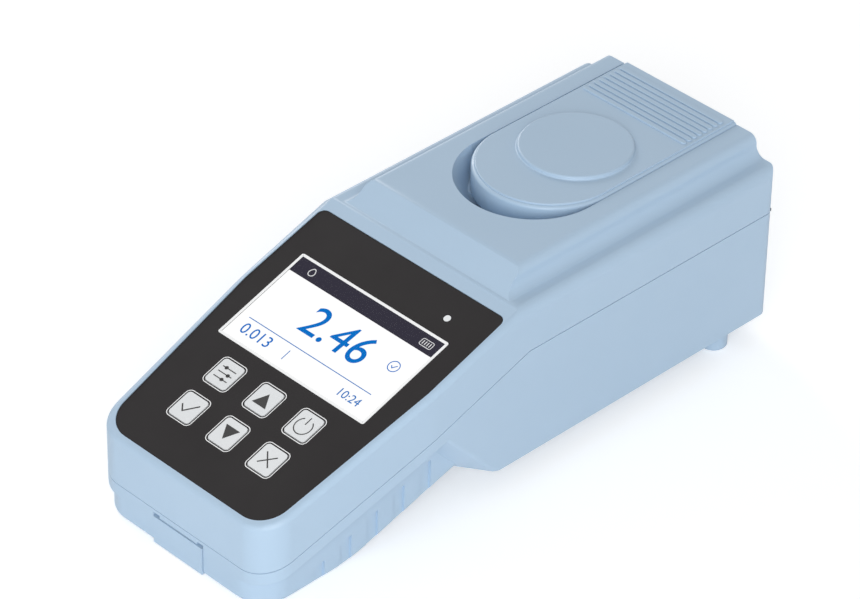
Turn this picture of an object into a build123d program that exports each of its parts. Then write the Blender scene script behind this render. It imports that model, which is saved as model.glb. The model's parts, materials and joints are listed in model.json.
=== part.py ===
from build123d import *
import math
import os

os.makedirs("parts", exist_ok=True)

# A portable turbidity meter on a table. Lengths are in millimetres and angles in degrees.
# +Z is up, the front with the handle looks towards -Y, and the origin lies on the table
# below the middle of the whole meter.

# Case, seen from above
total_length = 228.0
case_half_width = 45.25
shelf_width = 10.15
rail_width = 8.9
nose_narrowing = 4.75
taper_length = 68.1
taper_bend_radius = 80.0
nose_corner_radius = 12.0
tail_corner_radius = 4.0
wall = 2.4

# Shelf, sloped panel and raised platform
nose_height = 31.5637
ramp_foot_room = 0.2
shelf_edge_radius = 3.9
panel_angle = 18.5
panel_edge_radius = 2.2
wedge_reach = 9.0
platform_edge_radius = 3.2
cove_riser = 0.2
cove_radius = 4.1
platform_nose = 13.3
ramp_length = 8.7
ramp_top_radius = 4.0
ramp_foot_radius = 12.0

# Handle and rear block, seen from the side
block_height = 8.7
handle_flat = 38.0
handle_blend_radius = 60.0
arch_peak_height = 13.3
arch_peak_radius = 3.0
arch_to_peak = 46.6
peak_to_block = 12.5
grip_step = 6.55
grip_edge_radius = 2.0
flare_top_height = 32.4
flare_rise = 23.7
flare_run = 22.0
flare_edge_radius = 2.0

# Joint between the two shells
parting_depth = 17.2
skirt_height = 4.6
seam_gap = 0.3
seam_depth = 0.6
overlap = 0.2
seal_inset = 0.95
seal_width = 0.7
seal_height = 1.0
lip_width = 1.0
lip_height = 1.5
lip_root = 3.0

# Grip pockets
pocket_count = 5
pocket_width = 5.0
pocket_pitch = 11.6
pocket_depth = 0.85
pocket_below_skirt = 10.1
first_pocket = 22.2

# Clearances
moving_gap = 0.3
fit_gap = 0.1
pin_gap = 0.05
seat_gap = 0.01

# Lid recess and finger crater
finger_room = 8.5
recess_depth = 9.2
tub_wall = 2.2
crater_extra_depth = 3.4
crater_under_lid = 4.9
crater_corner_radius = 3.2

# Lid
lid_nose_margin = 18.8
lid_ledge = 0.6
lid_tier = 0.6
lid_tier_inset = 1.2
lid_ledge_radius = 1.2
lid_tier_radius = 0.4
lid_wall = 1.8
disc_margin = 0.7
disc_height = 1.3
disc_edge_radius = 0.8
disc_foot_radius = 0.6
rib_count = 8
rib_width = 1.95
rib_pitch = 2.55
rib_height = 0.5
rib_end_margin = 2.5
rib_edge_radius = 0.3
last_rib_from_rear = 4.55

# Lid hinge
barrel_radius = 3.5
barrel_below_platform = 6.0
barrel_gap = 0.35
knuckle_start = 10.0
pin_radius = 1.25
pin_start = 12.0
pin_seat_depth = 5.4
pin_block = 1.8
rear_notch_drop = 0.7

# Vial chamber and optics
well_from_rear = 50.5
well_radius = 12.8
well_floor = 13.4
chamber_wall = 2.7
chamber_floor = 1.4
collar_wall = 3.4
well_rim_chamfer = 0.8
collar_rise = 2.2
collar_gap = 0.3
flange_margin = 6.8
flange_thickness = 2.6
flange_boss_drop = 5.0
flange_boss_radius = 3.0
flange_screw_inset = 4.5
beam_height = 36.0
port_radius = 2.0
lamp_radius = 2.5
arm_half_width = 6.5
arm_proud = 9.0
lamp_setback = 1.5
optic_board_half_width = 7.5
optic_board_thickness = 1.6
seal_ring_width = 3.0
seal_ring_height = 0.4
shield_wall = 1.7
shield_room = 1.0
shield_top = 1.0

# Panel sheet, window and display, as depths below the panel and distances down its slope
sheet_top = 0.2
sheet_thickness = 0.5
sheet_from_bend = 6.0
sheet_nose_gap = 2.5352
sheet_kink_lead = 0.12576
sheet_rear_margin = 2.8
sheet_kink_margin = 2.45
sheet_nose_margin = 2.95
sheet_rear_radius = 2.8
sheet_nose_radius = 10.5
sheet_slack = 0.15
window_side_margin = 11.25
window_length = 39.75
window_from_sheet = 17.7
module_overlap = 0.9
module_thickness = 4.0
light_x = 26.0
light_from_sheet = 10.55
light_radius = 1.25

# Keys
key_columns = 3
key_pitch_across = 18.57
key_pitch_down = 16.45
key_from_window = 11.3
key_width = 8.3
key_length = 9.1
key_corner_radius = 1.3
key_proud = 0.2
key_flange = 0.8
key_flange_thickness = 0.6
key_travel = 0.4
key_to_switch = 0.5
switch_size = 6.0
switch_button_radius = 1.7
switch_button_height = 0.5

# Main board
board_thickness = 1.6
board_side_gap = 5.75
board_nose_half_width = 26.5
board_margin = 6.0
board_tail_margin = 4.5
board_screw_inset = 7.65
board_boss_radius = 2.35
board_screw_radius = 1.0
board_screw_head_radius = 1.8
board_screw_head = 1.2
board_screw_bite = 1.2

# Flat cable from the optics to the main board
cable_half_width = 4.0
cable_thickness = 0.6
cable_plug_length = 4.0
cable_plug_height = 2.2
cable_lead = 10.0
cable_drop_run = 18.0
cable_bend_radius = 5.0

# Housing screws
rear_screw_inset = 7.85
rear_screw_from_rear = 8.5
middle_screw_from_rear = 112.0
front_screw_inset = 6.0
front_screw_from_front = 25.6
screw_boss_radius = 3.4
screw_radius = 1.5
screw_hole_radius = 1.7
screw_head_radius = 2.7
screw_head_height = 2.2
screw_well_radius = 2.9
screw_shoulder = 8.5
screw_bite = 8.0

# Feet
foot_radius = 4.9
foot_inset = 7.85
foot_from_rear = 18.4
foot_spigot_radius = 2.0
foot_edge_radius = 0.8

# Battery tray, cells and cover
cell_count = 4
cell_radius = 5.25
cell_length = 43.5
cell_button_radius = 1.9
cell_button_length = 1.0
cell_pitch = 10.6
contact_thickness = 0.4
contact_spring = 2.7
contact_half_width = 4.0
cell_floor = 5.0
tray_wall = 1.2
tray_foot = 2.0
tray_foot_height = 6.0
tray_end_gap = 0.5
cover_set_back = 0.3
cover_thickness = 1.8
cover_overlap = 0.7
tab_half_width = 11.5
tab_thickness = 1.5
tab_proud = 0.4
tab_below_parting = 2.7
latch_slot_width = 2.6
latch_slot_height = 1.0
latch_slot_depth = 1.1
hook_inner = 14.0
hook_outer = 20.0
hook_reach = 3.0
hook_thickness = 1.2

# Slope of the panel
slope = math.tan(math.radians(panel_angle))
half_turn = math.tan(math.radians(panel_angle / 2))
slope_share = math.cos(math.radians(panel_angle))

# Widths that follow, from the well outwards and from the case's sides inwards
collar_radius = well_radius + collar_wall
chamber_radius = well_radius + chamber_wall
shield_inner_radius = collar_radius + shield_room
disc_radius = shield_inner_radius + shield_wall + disc_margin
platform_half_width = case_half_width - shelf_width
recess_half_width = platform_half_width - rail_width
lid_half_width = recess_half_width - moving_gap
rib_half_length = lid_half_width - rib_end_margin
nose_half_width = case_half_width - nose_narrowing
grip_half_width = case_half_width - grip_step
window_width = 2 * (case_half_width - window_side_margin)
board_half_width = case_half_width - board_side_gap
board_screw_x = case_half_width - board_screw_inset
rear_screw_x = case_half_width - rear_screw_inset
front_screw_x = grip_half_width - front_screw_inset
foot_x = case_half_width - foot_inset
flange_half_width = collar_radius + flange_margin
flange_screw_at = flange_half_width - flange_screw_inset
arm_reach = chamber_radius + arm_proud

# Lengths that follow, from the rear face forwards; the panel takes what is left of the whole length
lid_front = well_from_rear + disc_radius + lid_nose_margin
recess_front = lid_front + finger_room
crater_reach = finger_room + crater_under_lid
platform_length = recess_front + platform_nose
shelf_length = platform_length + ramp_length + ramp_foot_room
panel_run = total_length - tab_proud - shelf_length
panel_length = panel_run / slope_share
sheet_length = panel_length - sheet_from_bend - sheet_nose_gap
sheet_straight = (panel_run - taper_length) / slope_share - sheet_from_bend + sheet_kink_lead
shelf_height = round(nose_height + panel_run * slope, 2)

# Positions that follow
rear_y = total_length / 2
front_y = tab_proud - total_length / 2
bend_y = rear_y - shelf_length
well_y = rear_y - well_from_rear
platform_top = shelf_height + cove_radius + cove_riser + platform_edge_radius
recess_floor = platform_top - recess_depth
tub_floor = recess_floor - tub_wall
ledge_z = platform_top + lid_ledge
lid_top = ledge_z + lid_tier
lid_bottom = recess_floor + moving_gap + seal_ring_height
disc_top = lid_top + disc_height
cup_top = disc_top - lid_wall - overlap
hinge_y = rear_y - barrel_radius
hinge_z = platform_top - barrel_below_platform
spare = 20.0
reach = total_length

panel = Plane(
    origin=(0, bend_y, shelf_height),
    x_dir=(1, 0, 0),
    z_dir=(0, -math.sin(math.radians(panel_angle)), math.cos(math.radians(panel_angle))),
)
sheet_bottom = sheet_top + sheet_thickness
board_top = sheet_bottom + module_thickness
board_bottom = board_top + board_thickness
window_rear = -(sheet_from_bend + window_from_sheet)
window_front = window_rear - window_length
window_middle = (window_rear + window_front) / 2
cable_plug_end = window_rear + cable_plug_length - 1.0
first_row = window_front - key_from_window
second_row = first_row - key_pitch_down
light_s = -(sheet_from_bend + light_from_sheet)


# Small helpers

def prism_x(outline):
    """Endless prism across the case, from an outline in Y and Z."""
    return extrude(Plane.YZ * outline, amount=reach, both=True)


def prism_y(outline):
    """Endless prism along the case, from an outline in X and Z."""
    return extrude(Plane.XZ * outline, amount=reach, both=True)


def block(x, y, z):
    """Box between the two values of each pair."""
    size = (x[1] - x[0], y[1] - y[0], z[1] - z[0])
    middle = (sum(x) / 2, sum(y) / 2, sum(z) / 2)
    return Pos(*middle) * Box(*size)


def rod(x, y, z, radius):
    """Upright cylinder at x, y between the two values of z."""
    return Pos(x, y, sum(z) / 2) * Cylinder(radius, z[1] - z[0])


def rod_x(x, y, z, radius):
    """Cylinder across the case between the two values of x."""
    return Pos(sum(x) / 2, y, z) * Rot(0, 90, 0) * Cylinder(radius, x[1] - x[0])


def both_sides(shape):
    """The shape and its mirror image on the other side of the case."""
    return shape + mirror(shape, about=Plane.YZ)


def near(face, points, radius):
    """Rounds the corners of a flat outline that lie at the given points."""
    def chosen(v):
        return any(abs(v.X - a) < 0.02 and abs(v.Y - b) < 0.02 for a, b in points)
    return fillet(face.vertices().filter_by(chosen), radius)


def on_panel(outline, top, bottom):
    """Slab of the panel's slope between two depths below its surface."""
    return panel.location * Pos(0, 0, -bottom) * extrude(outline, amount=bottom - top, dir=(0, 0, 1))


def round_rectangle(width, length, radius):
    return RectangleRounded(width, length, radius)


def solids(*shapes):
    """One node of several separate solids."""
    found = []
    for shape in shapes:
        found.extend(shape.solids())
    return Compound(children=found)


# Outlines of the case

def plan_outline():
    """Case from above, run on past the rear face."""
    kink = front_y + taper_length
    tail = rear_y + spare
    face = make_face(Polyline(
        (-case_half_width, tail), (case_half_width, tail), (case_half_width, kink),
        (nose_half_width, front_y), (-nose_half_width, front_y), (-case_half_width, kink),
        close=True,
    ))
    face = near(face, [(case_half_width, kink), (-case_half_width, kink)], taper_bend_radius)
    corners = [(nose_half_width, front_y), (-nose_half_width, front_y)]
    return near(face, corners, nose_corner_radius)


def tail_outline():
    """Rear end from above, with its two upright corners rounded."""
    face = Pos(0, rear_y - reach / 2) * Rectangle(2 * case_half_width, reach)
    corners = [(case_half_width, rear_y), (-case_half_width, rear_y)]
    return near(face, corners, tail_corner_radius)


def cross_outline():
    """Section of shelf, cove and platform, seen along the case."""
    side, post = case_half_width, platform_half_width
    face = make_face(Polyline(
        (-side, -spare), (side, -spare), (side, shelf_height), (post, shelf_height),
        (post, platform_top), (-post, platform_top), (-post, shelf_height), (-side, shelf_height),
        close=True,
    ))
    face = near(face, [(post, platform_top), (-post, platform_top)], platform_edge_radius)
    face = near(face, [(post, shelf_height), (-post, shelf_height)], cove_radius)
    return near(face, [(side, shelf_height), (-side, shelf_height)], shelf_edge_radius)


def side_outline():
    """Handle, arch, rear block, panel, ramp and platform, seen from the side."""
    low, high = front_y - spare, rear_y + spare
    flat_end = front_y + handle_flat
    peak = flat_end + arch_to_peak
    block_start = peak + peak_to_block
    ramp_top = rear_y - platform_length
    ramp_foot = ramp_top - ramp_length
    foot_z = shelf_height + (ramp_foot - bend_y) * slope
    face = make_face(Polyline(
        (low, 0), (flat_end, 0), (peak, arch_peak_height), (block_start, block_height),
        (high, block_height), (high, platform_top), (ramp_top, platform_top),
        (ramp_foot, foot_z), (low, shelf_height + (low - bend_y) * slope),
        close=True,
    ))
    face = near(face, [(ramp_top, platform_top)], ramp_top_radius)
    face = near(face, [(ramp_foot, foot_z)], ramp_foot_radius)
    face = near(face, [(flat_end, 0)], handle_blend_radius)
    return near(face, [(peak, arch_peak_height)], arch_peak_radius)


def under_top_line(depth):
    """All that lies lower than depth below the line of shelf and panel."""
    low, high = front_y - spare, rear_y + spare
    bend = bend_y + depth * half_turn
    level = shelf_height - depth
    return prism_x(make_face(Polyline(
        (low, -spare), (high, -spare), (high, level), (bend, level),
        (low, level + (low - bend) * slope),
        close=True,
    )))


def band(upper, lower):
    """Layer between two depths below the line of shelf and panel."""
    return under_top_line(upper) - under_top_line(lower)


def core(inset):
    """Case form with every face moved inwards by inset, still without soft edges."""
    outlines = [plan_outline(), cross_outline(), side_outline()]
    if inset:
        outlines = [offset(face, amount=-inset) for face in outlines]
    plan, cross, side = outlines
    form = extrude(plan, amount=reach) & prism_x(side) & prism_y(cross)
    return form & block((-reach, reach), (-reach, rear_y - inset), (-spare, reach))


def soft_wedge():
    """Prism below the panel's plane, its rim rounded along nose and sides, that leaves the platform whole."""
    low, high = front_y - spare, rear_y + spare
    under = prism_x(make_face(Polyline(
        (low, -spare), (high, -spare), (high, shelf_height + (high - bend_y) * slope),
        (low, shelf_height + (low - bend_y) * slope),
        close=True,
    )))
    wedge = extrude(plan_outline(), amount=reach) & under

    def on_rim(edge):
        spots = (edge @ 0, edge @ 0.5, edge @ 1)
        flat = all(abs(panel.to_local_coords(p).Z) < 0.01 for p in spots)
        return flat and min(spots[0].Y, spots[2].Y) < rear_y
    wedge = fillet(wedge.edges().filter_by(on_rim), panel_edge_radius)
    clear = case_half_width - panel_edge_radius - fit_gap
    return wedge + block((-clear, clear), (bend_y - wedge_reach, rear_y + spare), (0, platform_top + spare))


def flare_plane(inset):
    """Slanted plane where the handle widens to the rear block, on the right side."""
    step = case_half_width - grip_half_width
    top_y = front_y + handle_flat + arch_to_peak + peak_to_block - flare_run
    top = Vector(case_half_width, top_y, flare_top_height)
    foot = top + Vector(0, flare_run, -flare_rise)
    inner = top - Vector(step, step, 0)
    normal = (foot - top).cross(inner - top).normalized()
    return Plane(origin=top + normal * inset, z_dir=normal)


def grip_cut(inset):
    """What the handle lacks beside its narrow grip, for the outer or the inner face."""
    half = grip_half_width - inset
    radius = nose_corner_radius - inset
    start = front_y + inset
    plan = Pos(0, start + reach / 2) * Rectangle(2 * half, reach)
    plan = near(plan, [(half, start), (-half, start)], radius)
    grip = extrude(plan, amount=reach)
    if not inset:
        grip = grip & prism_x(side_outline())
        low_edges = [e for e in grip.edges() if is_low_rim(e, half)]
        grip = fillet(low_edges, grip_edge_radius)
    below = under_top_line(parting_depth + skirt_height - inset)
    right = below & block((0, reach), (-reach, reach), (-spare, reach))
    right = split(right, bisect_by=flare_plane(inset), keep=Keep.BOTTOM)
    return both_sides(right - grip)


def is_low_rim(edge, half):
    """True for the grip's lower rim, along both sides and round the nose."""
    spots = (edge @ 0, edge @ 0.5, edge @ 1)
    if max(p.Z for p in spots) > arch_peak_height + 1:
        return False
    if max(p.Y for p in spots) > rear_y:
        return False
    on_side = all(abs(abs(p.X) - half) < 0.01 for p in spots)
    at_nose = all(p.Y < front_y + nose_corner_radius + 0.01 for p in spots)
    flat = max(p.Z for p in spots) - min(p.Z for p in spots) < 0.01
    return on_side and (not at_nose or flat) or at_nose and flat


def sheet_outline(slack):
    """Outline of the dark sheet on the panel, in the slope's own plane."""
    rear = slack - sheet_from_bend
    kink = -sheet_from_bend - sheet_straight
    front = -sheet_from_bend - sheet_length - slack
    rear_half = case_half_width - sheet_rear_margin + slack
    kink_half = case_half_width - sheet_kink_margin + slack
    nose_half = nose_half_width - sheet_nose_margin + slack
    face = make_face(Polyline(
        (-rear_half, rear), (rear_half, rear), (kink_half, kink), (nose_half, front),
        (-nose_half, front), (-kink_half, kink),
        close=True,
    ))
    face = near(face, [(rear_half, rear), (-rear_half, rear)], sheet_rear_radius + slack)
    return near(face, [(nose_half, front), (-nose_half, front)], sheet_nose_radius + slack)


# Whole outside form with the sheet's recess, and what both shells share

tail_form = extrude(tail_outline(), amount=reach)
outside = core(0) - on_panel(sheet_outline(sheet_slack), -spare, sheet_bottom)
outside = outside & soft_wedge() & tail_form
inside = core(wall)
below_parting = under_top_line(parting_depth)
seam = core(0) - core(seam_depth)
seal_ring = (core(seal_inset) - core(seal_inset + seal_width)) & band(
    parting_depth - seal_height / 2, parting_depth + seal_height / 2)


# Screws, bosses and wells between the two shells

def screw_places():
    """X, Y and the height of the screw seat, right side only."""
    parting_level = shelf_height - parting_depth
    bend = bend_y + parting_depth * half_turn
    places = []
    for from_rear in (rear_screw_from_rear, middle_screw_from_rear):
        places.append((rear_screw_x, rear_y - from_rear, parting_level - screw_shoulder))
    front_place = front_y + front_screw_from_front
    front_level = parting_level + (front_place - bend) * slope
    places.append((front_screw_x, front_place, front_level - screw_shoulder))
    return places


def make_housing_screws():
    screws = []
    for x, y, seat in screw_places():
        head = rod(x, y, (seat - screw_head_height, seat), screw_head_radius)
        shank = rod(x, y, (seat, seat + screw_shoulder + screw_bite), screw_radius)
        screws.append(both_sides(head + shank))
    return solids(*screws)


# Lid recess in the platform

def recess_outline(half, front, grow=0.0):
    """Straight sides and a round front end, open to the rear."""
    middle = rear_y - front + half
    wide = half + grow
    straight = Pos(0, (middle + rear_y + spare) / 2) * Rectangle(2 * wide, rear_y + spare - middle)
    return straight + Pos(0, middle) * Circle(wide)


def crater_form(grow):
    """Deep front end of the recess, where a fingertip gets under the lid."""
    floor = recess_floor - crater_extra_depth - grow
    plan = recess_outline(recess_half_width, recess_front, grow)
    front = rear_y - recess_front
    plan = plan & (Pos(0, front) * Rectangle(2 * reach, 2 * (crater_reach + grow)))
    form = Pos(0, 0, floor) * extrude(plan, amount=platform_top + spare - floor)
    lowest = [e for e in form.edges() if (e @ 0.5).Z < floor + 0.01 and (e @ 0.5).Y < front + crater_reach / 2]
    return fillet(lowest, crater_corner_radius + grow)


def recess_form():
    plan = recess_outline(recess_half_width, recess_front)
    form = Pos(0, 0, recess_floor) * extrude(plan, amount=spare)
    trough = rod_x((-recess_half_width, recess_half_width), hinge_y, hinge_z, barrel_radius + barrel_gap)
    notch_z = hinge_z - barrel_radius - barrel_gap - rear_notch_drop
    notch = block((-recess_half_width, recess_half_width), (hinge_y, rear_y + spare), (notch_z, platform_top + spare))
    return form + trough + notch + crater_form(0)


def make_upper_housing():
    shell = outside - below_parting
    above = shell
    shell = shell - inside
    tub = Pos(0, 0, tub_floor) * extrude(recess_outline(recess_half_width, recess_front, tub_wall), amount=spare)
    additions = tub + crater_form(tub_wall)
    seat_end = recess_half_width + pin_seat_depth + pin_block
    hinge_block = block(
        (recess_half_width, seat_end),
        (hinge_y - barrel_radius - pin_block, rear_y),
        (hinge_z - barrel_radius - pin_block, platform_top))
    additions = additions + both_sides(hinge_block)
    for x, y, seat in screw_places():
        boss = rod(x, y, (0, platform_top), screw_boss_radius)
        additions = additions + both_sides(boss & (inside - below_parting))
    for sx, sy in ((1, 1), (1, -1), (-1, 1), (-1, -1)):
        additions = additions + rod(
            sx * flange_screw_at, well_y + sy * flange_screw_at,
            (tub_floor - flange_boss_drop, recess_floor), flange_boss_radius)
    board_bosses = [
        panel.location * Pos(x, s, -(board_top + wall) / 2) * Cylinder(board_boss_radius, board_top - wall)
        for x, s in board_screw_places()
    ]
    for boss in board_bosses:
        additions = additions + boss
    shell = shell + (additions & above)
    shell = shell - recess_form()
    shell = shell - on_panel(module_outline(moving_gap), 0, wall + 1)
    for x, s in key_places():
        hole = Pos(x, s) * round_rectangle(
            key_width + 2 * (key_flange + moving_gap), key_length + 2 * (key_flange + moving_gap), key_corner_radius)
        shell = shell - on_panel(hole, 0, wall + 1)
    shell = shell - on_panel(Pos(light_x, light_s) * Circle(light_radius + fit_gap), 0, wall + 1)
    shell = shell - rod(0, well_y, (tub_floor - 1, recess_floor + 1), collar_radius + collar_gap)
    seat = rod_x((recess_half_width - 1, recess_half_width + pin_seat_depth), hinge_y, hinge_z, pin_radius + seat_gap)
    shell = shell - both_sides(seat)
    for x, y, seat_z in screw_places():
        shell = shell - both_sides(rod(x, y, (0, seat_z + screw_shoulder + screw_bite + 1), screw_radius + seat_gap))
    for sx, sy in ((1, 1), (1, -1), (-1, 1), (-1, -1)):
        shell = shell - rod(
            sx * flange_screw_at, well_y + sy * flange_screw_at,
            (tub_floor - flange_boss_drop - 1, tub_floor), board_screw_radius + seat_gap)
    for x, s in board_screw_places():
        shell = shell - panel.location * Pos(x, s, -board_top) * Cylinder(board_screw_radius + seat_gap, 2 * board_screw_bite + 0.4)
    return shell - seal_ring


def make_lower_housing():
    form = outside & below_parting
    form = form - grip_cut(0)
    form = soften_flares(form)
    form = form - pockets()
    cavity = (inside - grip_cut(wall)) & below_parting
    shell = form - cavity
    lip = (core(wall + fit_gap) - core(wall + lip_width)) & band(parting_depth - lip_height, parting_depth + lip_root)
    root = (core(wall - fit_gap) - core(wall + lip_width)) & band(parting_depth, parting_depth + lip_root)
    shell = shell + lip + root
    for x, y, seat in screw_places():
        boss = rod(x, y, (0, platform_top), screw_boss_radius)
        shell = shell + both_sides(boss & cavity)
        shell = shell - both_sides(rod(x, y, (-1, seat), screw_well_radius))
        shell = shell - both_sides(rod(x, y, (-1, platform_top), screw_hole_radius))
    shell = shell - both_sides(rod(foot_x, rear_y - foot_from_rear, (0, block_height + wall + 1), foot_spigot_radius + seat_gap))
    shell = shell - cover_opening()
    shell = shell - (seam & band(parting_depth, parting_depth + seam_gap))
    return shell - seal_ring


def soften_flares(form):
    """Rounds the slanted edge between each flare and the side of the rear block."""
    plane = flare_plane(0)

    def slanted(edge):
        spots = [Vector(abs(p.X), p.Y, p.Z) for p in (edge @ 0, edge @ 1)]
        flat = all(abs(plane.to_local_coords(p).Z) < 0.02 for p in spots)
        outer = all(abs(p.X - case_half_width) < 0.02 for p in spots)
        return flat and outer
    return fillet(form.edges().filter_by(slanted), flare_edge_radius)


def pockets():
    """Shallow finger grips that run out at the handle's lower edge, both sides."""
    limit = under_top_line(parting_depth + skirt_height + pocket_below_skirt)
    row = []
    for i in range(pocket_count):
        start = front_y + first_pocket + i * pocket_pitch
        row.append(block(
            (grip_half_width - pocket_depth, case_half_width + 1),
            (start, start + pocket_width), (-1, shelf_height)))
    right = row[0]
    for one in row[1:]:
        right = right + one
    return both_sides(right & limit)


# Panel: sheet, window, display, light, keys

def window_outline(slack):
    return Pos(0, window_middle) * Rectangle(window_width + 2 * slack, window_length + 2 * slack)


def module_outline(slack):
    grow = module_overlap + slack
    return Pos(0, window_middle) * Rectangle(window_width + 2 * grow, window_length + 2 * grow)


def key_places():
    """Centres of the keys on the panel, row by row."""
    middle = (key_columns - 1) / 2
    return [((i - middle) * key_pitch_across, s) for s in (first_row, second_row) for i in range(key_columns)]


def make_front_overlay():
    sheet = sheet_outline(0) - window_outline(fit_gap)
    for x, s in key_places():
        sheet = sheet - Pos(x, s) * round_rectangle(
            key_width + 2 * moving_gap, key_length + 2 * moving_gap, key_corner_radius + moving_gap)
    sheet = sheet - Pos(light_x, light_s) * Circle(light_radius + fit_gap)
    return on_panel(sheet, sheet_top, sheet_bottom)


def make_key(x, s):
    """Cap and the flange that keeps it under the sheet."""
    cap = on_panel(
        Pos(x, s) * round_rectangle(key_width, key_length, key_corner_radius),
        sheet_top - key_proud, sheet_bottom + fit_gap)
    flange_outline = round_rectangle(key_width + 2 * key_flange, key_length + 2 * key_flange, key_corner_radius)
    flange = on_panel(Pos(x, s) * flange_outline, sheet_bottom + fit_gap / 2, sheet_bottom + fit_gap / 2 + key_flange_thickness)
    return cap + flange


def make_key_switches():
    key_bottom = sheet_bottom + fit_gap / 2 + key_flange_thickness
    button_top = key_bottom + key_to_switch
    body_top = button_top + switch_button_height
    switches = []
    for x, s in key_places():
        body = on_panel(Pos(x, s) * Rectangle(switch_size, switch_size), body_top, board_top)
        button = on_panel(Pos(x, s) * Circle(switch_button_radius), button_top, body_top)
        switches.append(body + button)
    return solids(*switches)


# Main board

def board_screw_places():
    half = board_screw_x
    return [(sx * half, s) for s in (window_rear + board_tail_margin / 2, window_front - board_tail_margin / 2) for sx in (-1, 1)]


def make_main_board():
    wide_rear = window_rear + board_margin
    wide_front = window_front - board_margin
    nose_end = second_row - switch_size / 2 - board_margin
    wide = Pos(0, (wide_rear + wide_front) / 2) * Rectangle(2 * board_half_width, wide_rear - wide_front)
    nose = Pos(0, (wide_front + nose_end) / 2) * Rectangle(2 * board_nose_half_width, wide_front - nose_end)
    plan = wide + nose
    for x, s in board_screw_places():
        plan = plan - Pos(x, s) * Circle(board_screw_radius + fit_gap)
    return on_panel(plan, board_top, board_bottom)


def make_board_components():
    """Processor, memory, inductor and connectors on the lower face of the board."""
    plug_middle = cable_plug_end - cable_plug_length / 2
    chips = (
        (0.0, window_middle, 12.0, 12.0, 1.4),
        (-18.0, window_middle + 6.0, 8.0, 6.0, 1.2),
        (17.0, window_middle - 8.0, 7.0, 7.0, 3.2),
        (-22.0, window_front + 4.0, 9.0, 5.0, 2.6),
        (0.0, plug_middle, 2 * cable_half_width + 4, cable_plug_length, cable_plug_height),
    )
    parts = [
        on_panel(Pos(x, s) * Rectangle(width, length), board_bottom, board_bottom + height)
        for x, s, width, length, height in chips
    ]
    return solids(*parts)


def make_board_screws():
    screws = []
    for x, s in board_screw_places():
        head = on_panel(Pos(x, s) * Circle(board_screw_head_radius), board_bottom, board_bottom + board_screw_head)
        shank = on_panel(Pos(x, s) * Circle(board_screw_radius), board_top - board_screw_bite, board_bottom)
        screws.append(head + shank)
    return solids(*screws)


# Vial chamber and optics

def arm(angle):
    """Turns what points along +Y from the well's axis to the given side."""
    return Pos(0, well_y, beam_height) * Rot(0, 0, angle)


beam_sides = {"source": 180, "transmission": 0, "scatter": -90}


def make_vial_chamber():
    flange_top = tub_floor - flange_boss_drop
    body = rod(0, well_y, (well_floor - chamber_floor, flange_top), chamber_radius)
    body = body + rod(0, well_y, (flange_top - flange_thickness, recess_floor + collar_rise), collar_radius)
    body = body + block(
        (-flange_half_width, flange_half_width), (well_y - flange_half_width, well_y + flange_half_width),
        (flange_top - flange_thickness, flange_top))
    for angle in beam_sides.values():
        body = body + arm(angle) * Pos(0, arm_reach / 2, 0) * Box(2 * arm_half_width, arm_reach, 2 * arm_half_width)
    body = body - rod(0, well_y, (well_floor, recess_floor + collar_rise + 1), well_radius)
    for angle in beam_sides.values():
        port = arm(angle) * Pos(0, arm_reach / 2, 0) * Rot(90, 0, 0) * Cylinder(port_radius, arm_reach)
        lamp_start = chamber_radius + lamp_setback
        length = arm_reach - lamp_start
        pocket = arm(angle) * Pos(0, lamp_start + length / 2, 0) * Rot(90, 0, 0) * Cylinder(lamp_radius + seat_gap, length)
        body = body - port - pocket
    for sx, sy in ((1, 1), (1, -1), (-1, 1), (-1, -1)):
        body = body - rod(
            sx * flange_screw_at, well_y + sy * flange_screw_at,
            (flange_top - flange_thickness - 1, flange_top + 1), board_screw_radius + fit_gap)
    rim = [e for e in body.edges() if e.geom_type == GeomType.CIRCLE
           and abs((e @ 0).Z - recess_floor - collar_rise) < 0.01 and abs(e.radius - well_radius) < 0.01]
    return chamfer(rim, well_rim_chamfer)


def make_chamber_screws():
    seat = tub_floor - flange_boss_drop - flange_thickness
    screws = []
    for sx, sy in ((1, 1), (1, -1), (-1, 1), (-1, -1)):
        x, y = sx * flange_screw_at, well_y + sy * flange_screw_at
        head = rod(x, y, (seat - board_screw_head, seat), board_screw_head_radius)
        screws.append(head + rod(x, y, (seat, tub_floor - 1), board_screw_radius))
    return solids(*screws)


def make_emitter(angle):
    """Round optical part with a domed end that looks at the vial."""
    start = chamber_radius + lamp_setback + lamp_radius
    body = Pos(0, (start + arm_reach) / 2, 0) * Rot(90, 0, 0) * Cylinder(lamp_radius, arm_reach - start)
    dome = Pos(0, start, 0) * Sphere(lamp_radius)
    return arm(angle) * (body + dome)


def make_optic_board(angle):
    half = optic_board_half_width
    return arm(angle) * Pos(0, arm_reach + optic_board_thickness / 2, 0) * Box(2 * half, optic_board_thickness, 2 * half)


def make_well_seal():
    inner = collar_radius + collar_gap
    ring = Circle(inner + seal_ring_width) - Circle(inner)
    return Pos(0, well_y, recess_floor) * extrude(ring, amount=seal_ring_height)


# Battery tray, cells, contacts and cover

cell_row = cell_pitch * (cell_count - 1) + 2 * cell_radius
bay_half = cell_length / 2 + cell_button_length / 2 + contact_spring + contact_thickness
bay_front = front_y + wall + lip_width + moving_gap + tray_wall
bay_rear = bay_front + cell_row + 2 * tray_end_gap
cell_z = cell_floor + cell_radius
cover_half = bay_half + cover_overlap
cover_rear = bay_rear + tray_wall + fit_gap
cover_front = bay_front - fit_gap


def cell_places():
    first = bay_front + tray_end_gap + cell_radius
    return [(first + i * cell_pitch, 1 if i % 2 else -1) for i in range(cell_count)]


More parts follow.
